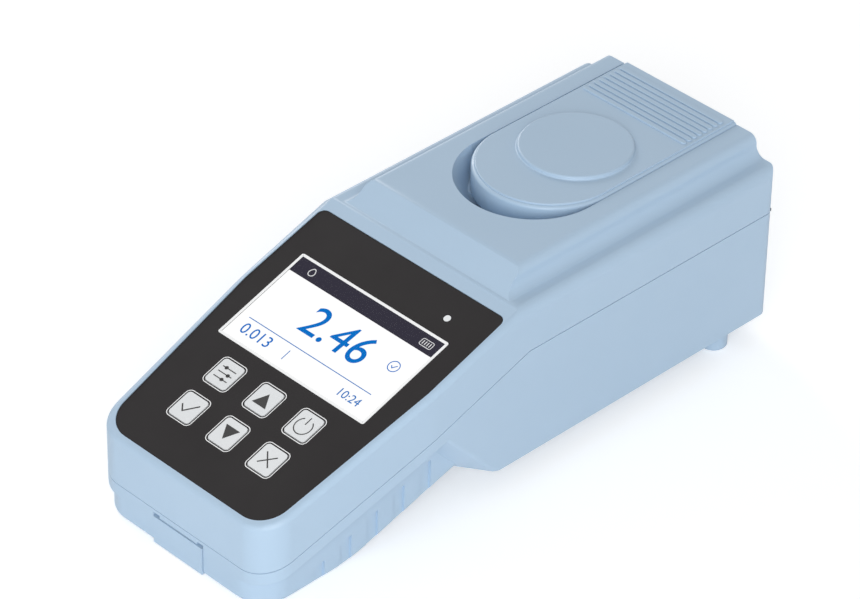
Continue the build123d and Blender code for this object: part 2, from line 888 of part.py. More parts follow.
def make_battery_tray():
    top = cell_z + cell_radius + 0.5 + tray_wall
    outer = block((-bay_half - tray_wall, bay_half + tray_wall), (bay_front - tray_wall, bay_rear + tray_wall), (0, top))
    foot = block(
        (-bay_half - tray_wall - tray_foot, bay_half + tray_wall + tray_foot),
        (bay_front - tray_wall, bay_rear + tray_wall + tray_foot), (0, tray_foot_height))
    tray = (outer + foot) & inside
    tray = tray - block((-bay_half, bay_half), (bay_front, bay_rear), (-1, top - tray_wall))
    hook_room = block(
        (hook_inner - moving_gap, hook_outer + moving_gap),
        (bay_rear - 1, cover_rear + hook_reach + 2), (-1, tray_foot_height + 3))
    return tray - both_sides(hook_room)


def make_battery_cells():
    cells = []
    for y, sense in cell_places():
        end = sense * cell_length / 2
        can = rod_x((-cell_length / 2, cell_length / 2), y, cell_z, cell_radius)
        tip = rod_x(sorted((end, end + sense * cell_button_length)), y, cell_z, cell_button_radius)
        cells.append(Pos(-sense * cell_button_length / 2, 0, 0) * (can + tip))
    return solids(*cells)


def make_battery_contacts():
    """A flat plate behind each tip and a plate with a conical spring behind each flat end."""
    contacts = []
    half = cell_length / 2 + cell_button_length / 2
    side = 2 * contact_half_width
    for y, sense in cell_places():
        for end in (1, -1):
            plate = Pos(end * (bay_half - contact_thickness / 2), y, cell_z) * Box(contact_thickness, side, side)
            gap = bay_half - contact_thickness - half
            middle = end * (half + gap / 2)
            if end == sense:
                nub = Pos(middle, y, cell_z) * Rot(0, 90, 0) * Cylinder(cell_button_radius, gap)
            else:
                nub = Pos(middle, y, cell_z) * Rot(0, end * -90, 0) * Cone(contact_half_width - 0.4, 2.2, gap)
            contacts.append(plate + nub)
    return solids(*contacts)


def cover_plan(slack):
    """Cover from above: a rectangle and the neck of its front tab."""
    main = block((-cover_half - slack, cover_half + slack), (cover_front - slack, cover_rear + slack), (-spare, spare))
    neck = block(
        (-tab_half_width - slack, tab_half_width + slack), (front_y - spare, cover_front + 1), (-spare, spare))
    return main, neck


def tab_top():
    bend = bend_y + parting_depth * half_turn
    return shelf_height - parting_depth + (front_y - bend) * slope - tab_below_parting


def cover_opening():
    """Opening for the cover in the handle, with the tab's recess and the two latch slots."""
    main, neck = cover_plan(moving_gap)
    low = block((-reach, reach), (-reach, reach), (-spare, cover_set_back + cover_thickness + moving_gap))
    recess = block(
        (-tab_half_width - moving_gap, tab_half_width + moving_gap),
        (front_y - spare, front_y - tab_proud + tab_thickness + moving_gap), (-spare, tab_top() + moving_gap))
    slot = block(
        (tab_half_width - latch_slot_width, tab_half_width + moving_gap),
        (front_y - spare, front_y + latch_slot_depth + moving_gap),
        (tab_top(), tab_top() + moving_gap + latch_slot_height))
    return main + (neck & low) + recess + both_sides(slot)


def make_battery_cover():
    main, neck = cover_plan(0)
    skin = core(cover_set_back) - core(cover_set_back + cover_thickness)
    low = block((-reach, reach), (-reach, reach), (-spare, cover_set_back + cover_thickness))
    handle = block((-reach, reach), (-reach, cover_rear), (-spare, tray_foot_height + 2))
    plate = skin & handle & (main + (neck & low))
    tab = block(
        (-tab_half_width, tab_half_width),
        (front_y - tab_proud, front_y - tab_proud + tab_thickness), (cover_set_back, tab_top()))
    foot = block(
        (-tab_half_width, tab_half_width),
        (front_y - tab_proud, cover_front + 1), (cover_set_back, cover_set_back + cover_thickness))
    plate = plate + tab + foot
    near_top = core(cover_set_back + cover_thickness - fit_gap) - core(wall + moving_gap + hook_thickness)
    lifted = core(wall + moving_gap) - core(wall + moving_gap + hook_thickness)
    root = block((hook_inner, hook_outer), (cover_rear - hook_reach, cover_rear), (-spare, tray_foot_height + 2))
    tongue = block((hook_inner, hook_outer), (cover_rear - 1, cover_rear + hook_reach), (-spare, tray_foot_height + 2))
    return plate + both_sides((near_top & root) + (lifted & tongue))


# Feet

def make_rear_foot(side):
    y = rear_y - foot_from_rear
    foot = rod(side * foot_x, y, (0, block_height), foot_radius)
    rim = [e for e in foot.edges() if (e @ 0).Z < 0.01 and e.geom_type == GeomType.CIRCLE]
    foot = fillet(rim, foot_edge_radius)
    return foot + rod(side * foot_x, y, (block_height, block_height + wall), foot_spigot_radius)


# Lid

def make_lid():
    plan = recess_outline(lid_half_width, lid_front)
    body = Pos(0, 0, lid_bottom) * extrude(plan, amount=ledge_z - lid_bottom)
    body = body & block((-reach, reach), (-reach, rear_y), (-reach, reach))
    rim = [e for e in body.edges() if abs((e @ 0.5).Z - ledge_z) < 0.01 and (e @ 0.5).Y < rear_y - 0.01]
    body = fillet(rim, lid_ledge_radius)
    tier_plan = recess_outline(lid_half_width - lid_tier_inset, lid_front - lid_tier_inset)
    tier = Pos(0, 0, ledge_z - overlap) * extrude(tier_plan, amount=lid_tier + overlap)
    tier = tier & block((-reach, reach), (-reach, rear_y), (-reach, reach))
    rim = [e for e in tier.edges() if abs((e @ 0.5).Z - lid_top) < 0.01]
    tier = fillet(rim, lid_tier_radius)
    hollow_plan = recess_outline(lid_half_width - lid_wall, lid_front - lid_wall)
    hollow = Pos(0, 0, lid_bottom - 1) * extrude(hollow_plan, amount=ledge_z - lid_wall - lid_bottom + 1)
    hollow = hollow & block((-reach, reach), (-reach, rear_y - lid_wall), (-reach, reach))
    body = body - hollow
    behind = block((-reach, reach), (hinge_y, rear_y + 1), (lid_bottom - spare, hinge_z))
    body = body - behind
    web_top = ledge_z - lid_wall / 2
    web = block((knuckle_start, lid_half_width), (hinge_y - barrel_radius, rear_y), (hinge_z, web_top))
    barrel = rod_x((knuckle_start, lid_half_width), hinge_y, hinge_z, barrel_radius)
    body = body + tier + both_sides(web + barrel)
    body = body + lid_pad() + lid_ribs()
    body = body - rod(0, well_y, (lid_bottom - 1, cup_top), shield_inner_radius + shield_wall + fit_gap)
    bore = rod_x((knuckle_start - 1, lid_half_width + 1), hinge_y, hinge_z, pin_radius + pin_gap)
    return body - both_sides(bore)


def lid_pad():
    """Raised round pad over the well."""
    pad = rod(0, well_y, (lid_top - overlap, disc_top), disc_radius)
    rim = [e for e in pad.edges() if abs((e @ 0).Z - disc_top) < 0.01]
    pad = fillet(rim, disc_edge_radius)
    skirt = rod(0, well_y, (lid_top, lid_top + disc_foot_radius), disc_radius + disc_foot_radius)
    bead = Pos(0, well_y, lid_top + disc_foot_radius) * Torus(disc_radius + disc_foot_radius, disc_foot_radius)
    return pad + (skirt - bead)


def lid_ribs():
    """Row of low round-ended ribs across the rear of the lid."""
    ribs = None
    for i in range(rib_count):
        y = rear_y - last_rib_from_rear - i * rib_pitch
        rib = Pos(0, y, lid_top - overlap) * extrude(SlotOverall(2 * rib_half_length, rib_width), amount=rib_height + overlap)
        rim = [e for e in rib.edges() if abs((e @ 0.5).Z - lid_top - rib_height) < 0.01]
        rib = fillet(rim, rib_edge_radius)
        ribs = rib if ribs is None else ribs + rib
    return ribs


def make_lid_shield():
    """Black cup under the lid that keeps light off the well."""
    outer = shield_inner_radius + shield_wall
    bottom = recess_floor + seal_ring_height + moving_gap
    cup = rod(0, well_y, (bottom, cup_top), outer)
    return cup - rod(0, well_y, (bottom - 1, cup_top - shield_top), shield_inner_radius)


def make_hinge_pins():
    end = recess_half_width + pin_seat_depth
    return solids(both_sides(rod_x((pin_start, end), hinge_y, hinge_z, pin_radius)))


def make_optics_cable():
    """Flat cable from the emitter's board up to its plug on the main board."""
    start_y = well_y - arm_reach - optic_board_thickness
    depth = board_bottom + cable_plug_height / 2
    end = panel.from_local_coords((0, cable_plug_end, -depth))
    turn = panel.from_local_coords((0, cable_plug_end + cable_lead, -depth))
    path = FilletPolyline(
        (start_y, beam_height), (turn.Y + cable_drop_run, beam_height), (turn.Y, turn.Z), (end.Y, end.Z),
        radius=cable_bend_radius)
    ribbon = trace(path, cable_thickness)
    return extrude(Plane.YZ * ribbon, amount=cable_half_width, both=True)


def make_status_light():
    return on_panel(Pos(light_x, light_s) * Circle(light_radius), sheet_top, board_top)


def make_parts():
    parts = {
        "upper_housing": make_upper_housing(),
        "lower_housing": make_lower_housing(),
        "housing_seal": seal_ring,
        "front_overlay": make_front_overlay(),
        "display_window": on_panel(window_outline(0), sheet_top, sheet_bottom),
        "display_module": on_panel(module_outline(0), sheet_bottom, board_top),
        "status_light": make_status_light(),
        "key_switches": make_key_switches(),
        "main_board": make_main_board(),
        "board_components": make_board_components(),
        "board_screws": make_board_screws(),
        "vial_chamber": make_vial_chamber(),
        "chamber_screws": make_chamber_screws(),
        "well_seal": make_well_seal(),
        "light_source": make_emitter(beam_sides["source"]),
        "scatter_detector": make_emitter(beam_sides["scatter"]),
        "transmission_detector": make_emitter(beam_sides["transmission"]),
        "source_board": make_optic_board(beam_sides["source"]),
        "scatter_board": make_optic_board(beam_sides["scatter"]),
        "transmission_board": make_optic_board(beam_sides["transmission"]),
        "optics_cable": make_optics_cable(),
        "battery_tray": make_battery_tray(),
        "battery_cells": make_battery_cells(),
        "battery_contacts": make_battery_contacts(),
        "battery_cover": make_battery_cover(),
        "rear_foot_left": make_rear_foot(-1),
        "rear_foot_right": make_rear_foot(1),
        "housing_screws": make_housing_screws(),
        "hinge_pins": make_hinge_pins(),
        "lid": make_lid(),
        "lid_shield": make_lid_shield(),
    }
    key_names = ("set_key", "up_key", "power_key", "enter_key", "down_key", "escape_key")
    for name, (x, s) in zip(key_names, key_places()):
        parts[name] = make_key(x, s)
    return parts


for node, shape in make_parts().items():
    export_step(shape, "parts/" + node + ".step")
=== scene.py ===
import bpy
import bmesh
import json
import math
import numpy as np
from mathutils import Matrix, Vector


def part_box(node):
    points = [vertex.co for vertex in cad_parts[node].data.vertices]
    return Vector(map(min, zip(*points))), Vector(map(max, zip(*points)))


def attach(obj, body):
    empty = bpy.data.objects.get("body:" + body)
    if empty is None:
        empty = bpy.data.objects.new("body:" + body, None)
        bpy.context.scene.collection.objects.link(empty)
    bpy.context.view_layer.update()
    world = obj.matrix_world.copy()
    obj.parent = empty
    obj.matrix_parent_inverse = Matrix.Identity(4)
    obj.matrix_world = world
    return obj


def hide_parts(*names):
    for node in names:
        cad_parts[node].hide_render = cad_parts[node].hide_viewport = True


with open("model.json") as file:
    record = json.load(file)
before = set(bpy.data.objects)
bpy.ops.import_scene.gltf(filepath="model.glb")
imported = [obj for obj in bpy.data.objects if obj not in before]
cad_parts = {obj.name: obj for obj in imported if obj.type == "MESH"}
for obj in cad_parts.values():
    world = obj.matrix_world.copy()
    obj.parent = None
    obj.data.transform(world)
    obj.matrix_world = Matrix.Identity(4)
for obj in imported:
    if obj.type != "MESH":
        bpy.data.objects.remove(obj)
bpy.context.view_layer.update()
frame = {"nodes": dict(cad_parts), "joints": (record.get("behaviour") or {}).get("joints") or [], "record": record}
print("frame loaded,", len(frame["nodes"]), "nodes")

mm = 0.001


# Camera and light

viewPoint = {
    "place": (0.81356, -0.81167, 0.87238),   # metres, from the table below the middle of the meter
    "azimuth": 45.18185,
    "elevation": 35.73688,
    "roll": 1.04532,
    "lens": 181.49,
    "sensor": 36.0,
    "clip": (0.05, 20.0),
}
studio = {
    "ambient": 0.49,
    "keyFrom": (0.62, -0.68, 0.40),
    "keyDistance": 1.5,
    "keySize": 1.1,
    "keyLevel": 0.64,
    "rimFrom": (-0.85, 0.30, 0.36),
    "rimDistance": 1.6,
    "rimSize": 0.5,
    "rimLevel": 0.30,
    "floorHalf": 3.0,
    "floorColour": (0.86, 0.87, 0.88),
    "floorLift": 0.38,
    "floorRoughness": 0.9,
    "floorSpecular": 0.1,
}


def makeCamera(opts):
    # back, right and up are the camera's own axes, turned about back by the roll
    azimuth, elevation, roll = (math.radians(opts[k]) for k in ("azimuth", "elevation", "roll"))
    outward = Vector((math.sin(azimuth), -math.cos(azimuth), 0))
    back = outward * math.cos(elevation) + Vector((0, 0, math.sin(elevation)))
    level = Vector((math.cos(azimuth), math.sin(azimuth), 0))
    upright = back.cross(level)
    right = level * math.cos(roll) + upright * math.sin(roll)
    up = back.cross(right)
    data = bpy.data.cameras.new("viewCamera")
    data.sensor_width = opts["sensor"]
    data.lens = opts["lens"]
    data.clip_start, data.clip_end = opts["clip"]
    camera = bpy.data.objects.new("viewCamera", data)
    bpy.context.scene.collection.objects.link(camera)
    turn = Matrix((right, up, back)).transposed()
    camera.matrix_world = Matrix.Translation(opts["place"]) @ turn.to_4x4()
    bpy.context.scene.camera = camera


def areaLamp(name, towards, distance, size, level):
    direction = Vector(towards).normalized()
    data = bpy.data.lights.new(name, "AREA")
    data.shape = "DISK"
    data.size = size
    data.energy = level * math.pi ** 2 * distance ** 2   # a white surface facing it then renders at level
    lamp = bpy.data.objects.new(name, data)
    bpy.context.scene.collection.objects.link(lamp)
    lamp.location = direction * distance
    lamp.rotation_mode = "QUATERNION"
    lamp.rotation_quaternion = direction.to_track_quat("Z", "Y")


def seenDirectly(tree):
    # 1 where the ray comes from the camera, a reflection or a clear surface
    path = tree.nodes.new("ShaderNodeLightPath")
    first = tree.nodes.new("ShaderNodeMath")
    first.operation = "MAXIMUM"
    tree.links.new(path.outputs["Is Camera Ray"], first.inputs[0])
    tree.links.new(path.outputs["Is Glossy Ray"], first.inputs[1])
    second = tree.nodes.new("ShaderNodeMath")
    second.operation = "MAXIMUM"
    tree.links.new(first.outputs[0], second.inputs[0])
    tree.links.new(path.outputs["Is Transmission Ray"], second.inputs[1])
    return second.outputs[0]


def makeStudio(opts):
    world = bpy.data.worlds.new("paleRoom")
    bpy.context.scene.world = world
    world.use_nodes = True
    tree = world.node_tree
    back = tree.nodes["Background"]
    blend = tree.nodes.new("ShaderNodeMapRange")
    blend.inputs["To Min"].default_value = opts["ambient"]
    blend.inputs["To Max"].default_value = 1.0
    tree.links.new(seenDirectly(tree), blend.inputs["Value"])
    tree.links.new(blend.outputs["Result"], back.inputs["Strength"])
    back.inputs["Color"].default_value = (1, 1, 1, 1)
    areaLamp("keyLamp", opts["keyFrom"], opts["keyDistance"], opts["keySize"], opts["keyLevel"])
    areaLamp("rimLamp", opts["rimFrom"], opts["rimDistance"], opts["rimSize"], opts["rimLevel"])
    half = opts["floorHalf"]
    mesh = bpy.data.meshes.new("floor")
    corners = [(-half, -half, 0), (half, -half, 0), (half, half, 0), (-half, half, 0)]
    mesh.from_pydata(corners, [], [(0, 1, 2, 3)])
    floor = bpy.data.objects.new("floor", mesh)
    bpy.context.scene.collection.objects.link(floor)
    paper = bpy.data.materials.new("floorPaper")
    paper.use_nodes = True
    tree = paper.node_tree
    shader = tree.nodes["Principled BSDF"]
    shader.inputs["Base Color"].default_value = (*opts["floorColour"], 1)
    shader.inputs["Roughness"].default_value = opts["floorRoughness"]
    shader.inputs["Specular IOR Level"].default_value = opts["floorSpecular"]
    shader.inputs["Emission Color"].default_value = (1, 1, 1, 1)
    lift = tree.nodes.new("ShaderNodeMath")
    lift.operation = "MULTIPLY"
    lift.inputs[1].default_value = opts["floorLift"]
    tree.links.new(seenDirectly(tree), lift.inputs[0])
    tree.links.new(lift.outputs[0], shader.inputs["Emission Strength"])
    mesh.materials.append(paper)


makeCamera(viewPoint)
makeStudio(studio)
bpy.context.scene.view_settings.view_transform = "Standard"
print("camera and studio ready")


# Finishes, all on Object coordinates in metres

def newFinish(name, colour, roughness, metallic=0.0, specular=0.5, alpha=1.0):
    finish = bpy.data.materials.new(name)
    finish.use_nodes = True
    shader = finish.node_tree.nodes["Principled BSDF"]
    shader.inputs["Base Color"].default_value = (*colour, 1)
    shader.inputs["Roughness"].default_value = roughness
    shader.inputs["Metallic"].default_value = metallic
    shader.inputs["Specular IOR Level"].default_value = specular
    shader.inputs["Alpha"].default_value = alpha
    finish.diffuse_color = (*colour, 1)
    return finish, finish.node_tree, shader


def noiseOn(tree, scale, detail=2.0, stretch=None):
    place = tree.nodes.new("ShaderNodeTexCoord").outputs["Object"]
    if stretch:
        mapping = tree.nodes.new("ShaderNodeMapping")
        mapping.inputs["Scale"].default_value = stretch
        tree.links.new(place, mapping.inputs["Vector"])
        place = mapping.outputs["Vector"]
    noise = tree.nodes.new("ShaderNodeTexNoise")
    noise.inputs["Scale"].default_value = scale
    noise.inputs["Detail"].default_value = detail
    tree.links.new(place, noise.inputs["Vector"])
    return noise.outputs["Fac"]


def blendColours(tree, factor, low, high):
    ramp = tree.nodes.new("ShaderNodeMix")
    ramp.data_type = "RGBA"
    ramp.inputs[6].default_value = (*low, 1)
    ramp.inputs[7].default_value = (*high, 1)
    tree.links.new(factor, ramp.inputs[0])
    return ramp.outputs[2]


noiseRange = (0.3, 0.7)   # where most of a noise texture's values lie


def spread(tree, factor, low, high):
    ranged = tree.nodes.new("ShaderNodeMapRange")
    ranged.inputs["From Min"].default_value = noiseRange[0]
    ranged.inputs["From Max"].default_value = noiseRange[1]
    ranged.inputs["To Min"].default_value = low
    ranged.inputs["To Max"].default_value = high
    tree.links.new(factor, ranged.inputs["Value"])
    return ranged.outputs["Result"]


def addGrain(tree, shader, height, distance):
    bump = tree.nodes.new("ShaderNodeBump")
    bump.inputs["Strength"].default_value = 1.0
    bump.inputs["Distance"].default_value = distance
    tree.links.new(height, bump.inputs["Height"])
    tree.links.new(bump.outputs["Normal"], shader.inputs["Normal"])


def mixed(colour, other, share):
    return tuple(a + (b - a) * share for a, b in zip(colour, other))


black = (0, 0, 0)
white = (1, 1, 1)
plastic = {
    "shade": 0.03,             # how far the cloudy colour goes to white and to black
    "cloudScale": 28.0,
    "cloudDetail": 3.0,
    "sheenScale": 90.0,
    "sheenRange": (-0.04, 0.05),
    "grainScale": 2600.0,
    "grainDepth": 0.000006,
    "specular": 0.45,
}
metal = {
    "streakScale": 900.0,
    "streakDetail": 3.0,
    "streakStretch": (0.2, 1.0, 1.0),
    "sheenRange": (-0.08, 0.12),
    "shade": 0.12,
}
litCells = {
    "scale": 5200.0,
    "detail": 0.0,
    "shade": 0.03,
    "roughness": 0.35,
}


def mouldedPlastic(name, colour, roughness, **changes):
    # fine spark-eroded grain, faint cloudy colour and a sheen that wanders a little
    opts = {**plastic, **changes}
    finish, tree, shader = newFinish(name, colour, roughness, specular=opts["specular"])
    cloud = noiseOn(tree, opts["cloudScale"], opts["cloudDetail"])
    pale = mixed(colour, white, opts["shade"])
    deep = mixed(colour, black, opts["shade"])
    tree.links.new(blendColours(tree, cloud, deep, pale), shader.inputs["Base Color"])
    low, high = opts["sheenRange"]
    sheen = spread(tree, noiseOn(tree, opts["sheenScale"]), roughness + low, roughness + high)
    tree.links.new(sheen, shader.inputs["Roughness"])
    addGrain(tree, shader, noiseOn(tree, opts["grainScale"]), opts["grainDepth"])
    return finish


def brushedMetal(name, colour, roughness):
    finish, tree, shader = newFinish(name, colour, roughness, metallic=1.0)
    streak = noiseOn(tree, metal["streakScale"], metal["streakDetail"], metal["streakStretch"])
    low, high = metal["sheenRange"]
    tree.links.new(spread(tree, streak, roughness + low, roughness + high), shader.inputs["Roughness"])
    deep = mixed(colour, black, metal["shade"])
    tree.links.new(blendColours(tree, streak, deep, colour), shader.inputs["Base Color"])
    return finish


def glowing(name, colour, level):
    # what a lit display shows: its own light, with a faint cell pattern
    finish, tree, shader = newFinish(name, black, litCells["roughness"], specular=0.0)
    cells = noiseOn(tree, litCells["scale"], litCells["detail"])
    deep = mixed(colour, black, litCells["shade"])
    tree.links.new(blendColours(tree, cells, deep, colour), shader.inputs["Emission Color"])
    shader.inputs["Emission Strength"].default_value = level
    return finish


paint = {
    "caseBlue": (0.425, 0.570, 0.725),
    "sheetDark": (0.0215, 0.0192, 0.0200),
    "keyPale": (0.78, 0.80, 0.815),
    "keyInk": (0.014, 0.013, 0.0135),
    "printWhite": (0.97, 0.975, 0.98),
    "optics": (0.016, 0.016, 0.017),
    "foam": (0.02, 0.02, 0.02),
    "board": (0.015, 0.12, 0.045),
    "parts": (0.03, 0.03, 0.032),
    "cell": (0.035, 0.05, 0.07),
    "epoxy": (0.03, 0.035, 0.09),
    "ribbon": (0.42, 0.42, 0.42),
    "pearl": (0.86, 0.88, 0.9),
    "module": (0.02, 0.02, 0.024),
    "steel": (0.56, 0.57, 0.58),
    "nickel": (0.72, 0.71, 0.67),
    "window": (0.02, 0.02, 0.025),
    "statusDark": (0.040, 0.037, 0.055),
    "digitBlue": (0.0035, 0.175, 0.62),
    "lineBlue": (0.03, 0.20, 0.58),
}
filmGrain = {"shade": 0.01, "grainScale": 3800.0, "grainDepth": 0.000003, "specular": 0.10}
keyGrain = {"shade": 0.02, "grainScale": 3000.0, "grainDepth": 0.000004}
opticsGrain = {"shade": 0.01, "grainScale": 1800.0, "grainDepth": 0.00001}
foamGrain = {"shade": 0.01, "grainScale": 1500.0, "grainDepth": 0.00006}
finishes = {
    "caseBlue": mouldedPlastic("moulded_case_blue", paint["caseBlue"], 0.42),
    "lidBlue": mouldedPlastic("moulded_lid_blue", mixed(paint["caseBlue"], black, 0.012), 0.40),
    "sheetDark": mouldedPlastic("printed_film_dark", paint["sheetDark"], 0.55, **filmGrain),
    "keyPale": mouldedPlastic("key_rubber_pale", paint["keyPale"], 0.55, **keyGrain),
    "keyInk": mouldedPlastic("key_ink_dark", paint["keyInk"], 0.5, shade=0.01),
    "printWhite": mouldedPlastic("film_print_white", paint["printWhite"], 0.5, shade=0.01),
    "blackMoulding": mouldedPlastic("optics_black", paint["optics"], 0.6, **opticsGrain),
    "foam": mouldedPlastic("foam_black", paint["foam"], 0.9, **foamGrain),
    "board": mouldedPlastic("solder_mask_green", paint["board"], 0.3, shade=0.04),
    "parts": mouldedPlastic("component_black", paint["parts"], 0.45, shade=0.02),
    "cell": mouldedPlastic("cell_sleeve_dark", paint["cell"], 0.25, shade=0.02),
    "epoxy": mouldedPlastic("epoxy_tinted", paint["epoxy"], 0.12, shade=0.01),
    "ribbon": mouldedPlastic("ribbon_grey", paint["ribbon"], 0.5, shade=0.02),
    "pearl": mouldedPlastic("light_pipe_white", paint["pearl"], 0.3, shade=0.01),
    "module": mouldedPlastic("display_module_black", paint["module"], 0.25, shade=0.01),
    "steel": brushedMetal("screw_steel", paint["steel"], 0.3),
    "nickel": brushedMetal("contact_nickel", paint["nickel"], 0.22),
    "displayWhite": glowing("display_white", (1.0, 1.0, 1.0), 1.12),
    "displayBar": glowing("display_bar", paint["statusDark"], 1.0),
    "displayBlue": glowing("display_digits", paint["digitBlue"], 1.0),
    "displayLine": glowing("display_lines", paint["lineBlue"], 1.0),
    "window": newFinish("window_clear", paint["window"], 0.08, specular=0.12, alpha=0.04)[0],
}
print("finishes ready:", len(finishes))


# Meshes worked out from arrays

def addMesh(name, points, faces, finish, body):
    mesh = bpy.data.meshes.new(name)
    mesh.from_pydata(np.asarray(points, float).tolist(), [], [tuple(int(i) for i in f) for f in faces])
    mesh.materials.append(finishes[finish])
    mesh.update()
    piece = bpy.data.objects.new(name, mesh)
    bpy.context.scene.collection.objects.link(piece)
    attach(piece, body)
    return piece


def gridFaces(rows, columns, closeRows=False, closeColumns=False):
    # quads between neighbours of a rows by columns grid, wrapped where asked
    down, along = np.arange(rows - (not closeRows)), np.arange(columns - (not closeColumns))
    i, j = np.meshgrid(down, along, indexing="ij")
    nextI, nextJ = (i + 1) % rows, (j + 1) % columns
    quads = np.stack([i * columns + j, i * columns + nextJ, nextI * columns + nextJ, nextI * columns + j], -1)
    return quads.reshape(-1, 4)


def nodeBox(node):
    low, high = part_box(node)
    return np.array(low), np.array(high)


# The panel's own frame: across, up its slope, and out of it

keyNames = ("set_key", "up_key", "power_key", "enter_key", "down_key", "escape_key")
jointOf = {joint["child"]: joint for joint in frame["joints"]}
normal = -np.array(jointOf["set_key"]["axis"])
across = np.array((1.0, 0.0, 0.0))
uphill = np.cross(normal, across)
middleKey = np.array(jointOf["up_key"]["pos_m"])
panel = {
    "filmThickness": 0.5 * mm,
    "filmDepth": 0.2 * mm,
    "printRise": 0.03 * mm,
    "printSink": 0.01 * mm,
}
filmTop = -panel["filmDepth"]


def panelSpot(place):
    # x across, s up the slope and h above the panel's surface, from the first key row's middle
    spot = np.asarray(place, float) - middleKey
    return spot @ across, spot @ uphill, spot @ normal


def fromPanel(local):
    local = np.asarray(local, float)
    return middleKey + local[..., :1] * across + local[..., 1:2] * uphill + local[..., 2:3] * normal


def plate(name, outline, bottom, top, finish, body, slotName):
    # flat slab: the outline, counter-clockwise in x and s, at two heights
    outline = np.asarray(outline, float)
    n = len(outline)
    low = np.column_stack([outline, np.full(n, bottom)])
    high = np.column_stack([outline, np.full(n, top)])
    sides = gridFaces(2, n, closeColumns=True)
    faces = [*sides.tolist(), list(range(n, 2 * n)), list(range(n))[::-1]]
    return addMesh(name, fromPanel(np.vstack([low, high])), faces, finish, body)


def strip(name, line, width, bottom, top, finish, body, slotName, closed=False):
    # a rectangular section carried along a line in the panel's plane, square to its mean direction;
    # at a corner its width grows by 1 / cos of half the turn, so that the edges stay parallel
    line = np.asarray(line, float)
    if closed:
        before, after = np.roll(line, 1, 0), np.roll(line, -1, 0)
    else:
        before = np.vstack([2 * line[0] - line[1], line[:-1]])
        after = np.vstack([line[1:], 2 * line[-1] - line[-2]])
    one, two = line - before, after - line
    one, two = one / np.linalg.norm(one, axis=1)[:, None], two / np.linalg.norm(two, axis=1)[:, None]
    mean = one + two
    mean = mean / np.linalg.norm(mean, axis=1)[:, None]
    side = np.column_stack([-mean[:, 1], mean[:, 0]])
    stretch = 1 / np.clip((mean * one).sum(1), 0.5, 1)
    offset = side * (width / 2 * stretch)[:, None]
    section = [(-1, bottom), (1, bottom), (1, top), (-1, top)]
    rings = np.stack([np.column_stack([line + offset * s, np.full(len(line), h)]) for s, h in section], 1)
    faces = gridFaces(len(line), 4, closeRows=closed, closeColumns=True).tolist()
    if not closed:
        last = 4 * (len(line) - 1)
        faces += [[0, 1, 2, 3], [last + 3, last + 2, last + 1, last]]
    return addMesh(name, fromPanel(rings.reshape(-1, 3)), faces, finish, body)


def roundedOutline(centre, width, length, radius, steps=8):
    # four quarter arcs joined by straight runs
    angle = np.linspace(0, math.pi / 2, steps + 1)
    corners = [(1, 1), (-1, 1), (-1, -1), (1, -1)]
    arcs = []
    for turn, (sx, sy) in enumerate(corners):
        a = angle + turn * math.pi / 2
        middle = (centre[0] + sx * (width / 2 - radius), centre[1] + sy * (length / 2 - radius))
        arcs.append(np.column_stack([middle[0] + radius * np.cos(a), middle[1] + radius * np.sin(a)]))
    return np.vstack(arcs)


def arcLine(centre, radius, start, end, steps=40):
    angle = np.radians(np.linspace(start, end, steps + 1))
    return np.column_stack([centre[0] + radius * np.cos(angle), centre[1] + radius * np.sin(angle)])


figureSteps = 6   # straight runs to each curve of a figure


def figures(name, text, centre, height, bottom, top, finish, body, slotName, shear=0.0):
    # plain figures as a thin slab, laid on the panel; any extrusion will do, its sides become bottom and top
    curve = bpy.data.curves.new(name, "FONT")
    curve.body = text
    curve.size = 1.0
    curve.shear = shear
    curve.align_x = "CENTER"
    curve.resolution_u = figureSteps
    curve.extrude = 0.5
    holder = bpy.data.objects.new(name + "_curve", curve)
    bpy.context.scene.collection.objects.link(holder)
    bpy.context.view_layer.update()
    made = bpy.data.meshes.new_from_object(holder.evaluated_get(bpy.context.evaluated_depsgraph_get()))
    bpy.data.objects.remove(holder)
    count = len(made.vertices)
    flat = np.zeros(count * 3)
    made.vertices.foreach_get("co", flat)
    flat = flat.reshape(-1, 3)
    low, high = flat.min(0), flat.max(0)
    scale = height / (high[1] - low[1])
    local = np.column_stack([
        (flat[:, 0] - (low[0] + high[0]) / 2) * scale + centre[0],
        (flat[:, 1] - (low[1] + high[1]) / 2) * scale + centre[1],
        np.where(flat[:, 2] > 0, top, bottom),
    ])
    made.vertices.foreach_set("co", fromPanel(local).ravel())
    made.name = name
    made.materials.clear()
    made.materials.append(finishes[finish])
    made.update()
    piece = bpy.data.objects.new(name, made)
    bpy.context.scene.collection.objects.link(piece)
    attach(piece, body)


# CAD nodes: finishes, and smooth copies of the large mouldings

